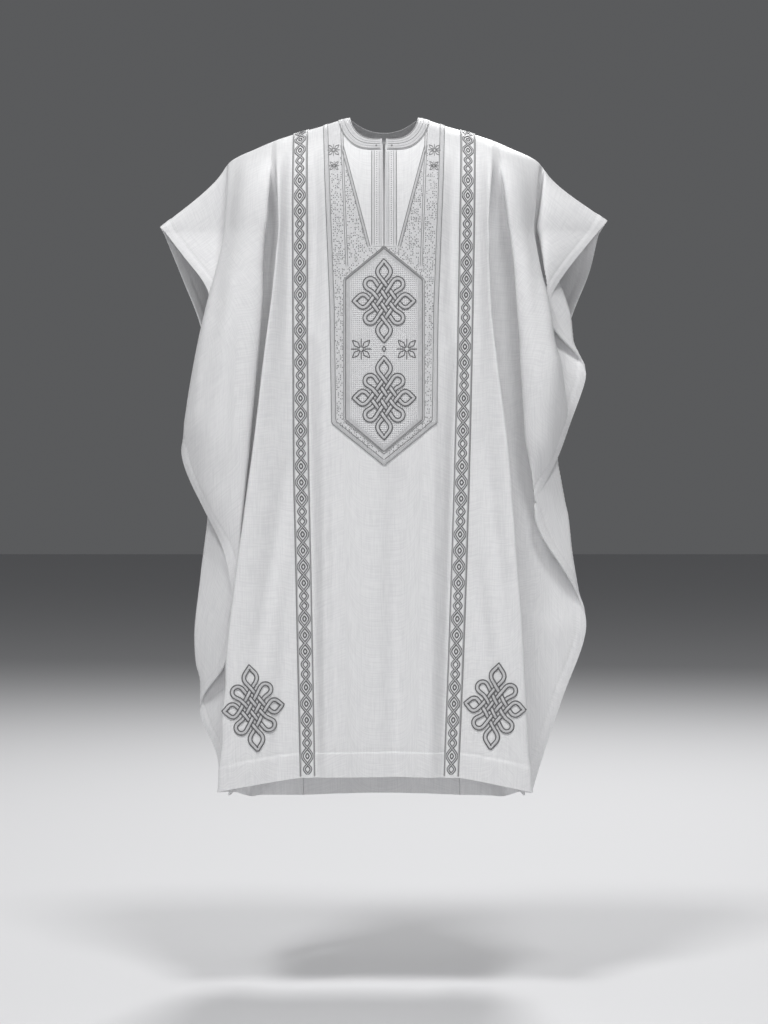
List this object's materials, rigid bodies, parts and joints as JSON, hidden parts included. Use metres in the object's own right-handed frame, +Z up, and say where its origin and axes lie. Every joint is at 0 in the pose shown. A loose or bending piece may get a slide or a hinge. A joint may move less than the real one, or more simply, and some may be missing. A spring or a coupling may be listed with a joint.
{
  "type": "grand boubou robe",
  "caption": "Wide calf-length West African men's robe with open draped sleeves, slit neck and embroidered front, hollow as worn.",
  "frame": {"origin": "centre of the neck opening, level with the shoulder line, where the wearer's neck and shoulders hold the robe", "axes": "+Z up, -Y to the front of the robe, +X to the right as seen from the front (the wearer's left)"},
  "size_m": [0.8501, 0.3764, 1.3116],
  "materials": {
    "white_damask": "polished cotton damask, slight sheen",
    "silver_embroidery": "dense silver-grey thread embroidery",
    "pale_embroidery": "pale grey stitched ground"
  },
  "bodies": {
    "root": {"front_panel": "white_damask", "back_panel": "white_damask", "left_front_side": "white_damask", "right_front_side": "white_damask", "left_back_side": "white_damask", "right_back_side": "white_damask", "neckband": "silver_embroidery", "left_placket": "silver_embroidery", "right_placket": "silver_embroidery", "left_yoke": "pale_embroidery", "right_yoke": "pale_embroidery", "chest_panel": "pale_embroidery", "left_band": "silver_embroidery", "right_band": "silver_embroidery"}
  },
  "joints": []
}
